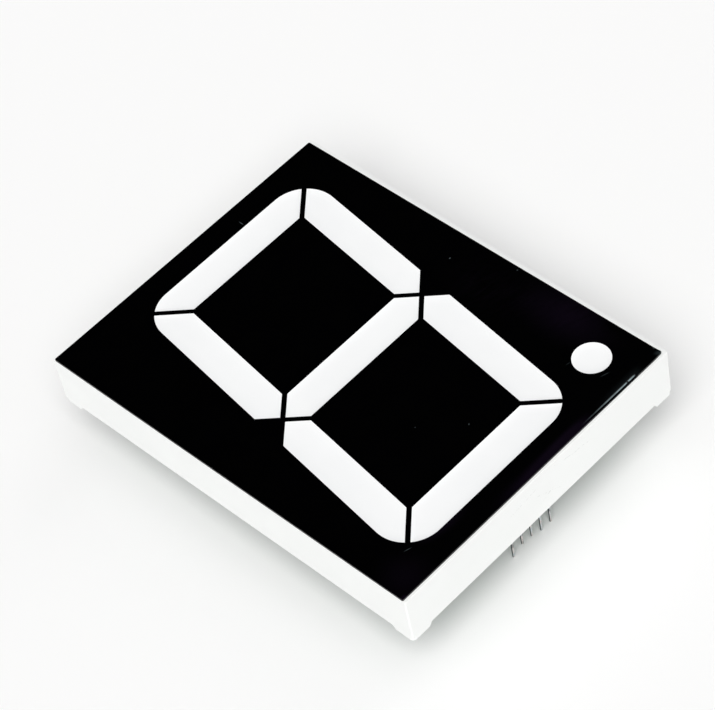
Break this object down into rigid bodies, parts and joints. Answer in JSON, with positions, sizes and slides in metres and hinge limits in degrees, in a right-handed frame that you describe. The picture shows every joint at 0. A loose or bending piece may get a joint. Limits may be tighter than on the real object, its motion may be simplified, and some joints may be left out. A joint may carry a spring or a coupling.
{
  "type": "seven segment display",
  "caption": "Seven segment display with a slanted white digit and round decimal point in a black face, in a shallow white housing with rows of solder pins behind.",
  "frame": {"origin": "centred under the housing, level with the tips of the pins", "axes": "+Z out of the face, +Y towards the top of the digit, +X to its right"},
  "size_m": [0.07, 0.091, 0.0235],
  "materials": {
    "housing_plastic": "moulded, fine satin",
    "face_film": "smooth black film, semi-gloss",
    "segment_resin": "cast, milky white, smooth",
    "board_laminate": "glass laminate under green solder mask",
    "copper": "etched copper under solder mask",
    "chip": "semiconductor chip",
    "gold_wire": "drawn gold",
    "solder": "tinned, bright",
    "pin_metal": "tinned wire"
  },
  "bodies": {
    "root": {"reflector_housing": "housing_plastic", "face_film": "face_film", "segment_a": "segment_resin", "segment_b": "segment_resin", "segment_c": "segment_resin", "segment_d": "segment_resin", "segment_e": "segment_resin", "segment_f": "segment_resin", "segment_g": "segment_resin", "decimal_point": "segment_resin", "circuit_board": "board_laminate", "board_copper": "copper", "chip_pads": "copper", "chips_a": "chip", "chips_b": "chip", "chips_c": "chip", "chips_d": "chip", "chips_e": "chip", "chips_f": "chip", "chips_g": "chip", "chip_dot": "chip", "bond_wires": "gold_wire", "solder_joints": "solder", "pin_1": "pin_metal", "pin_2": "pin_metal", "pin_3": "pin_metal", "pin_4": "pin_metal", "pin_5": "pin_metal", "pin_6": "pin_metal", "pin_7": "pin_metal", "pin_8": "pin_metal", "pin_9": "pin_metal", "pin_10": "pin_metal"}
  },
  "joints": []
}
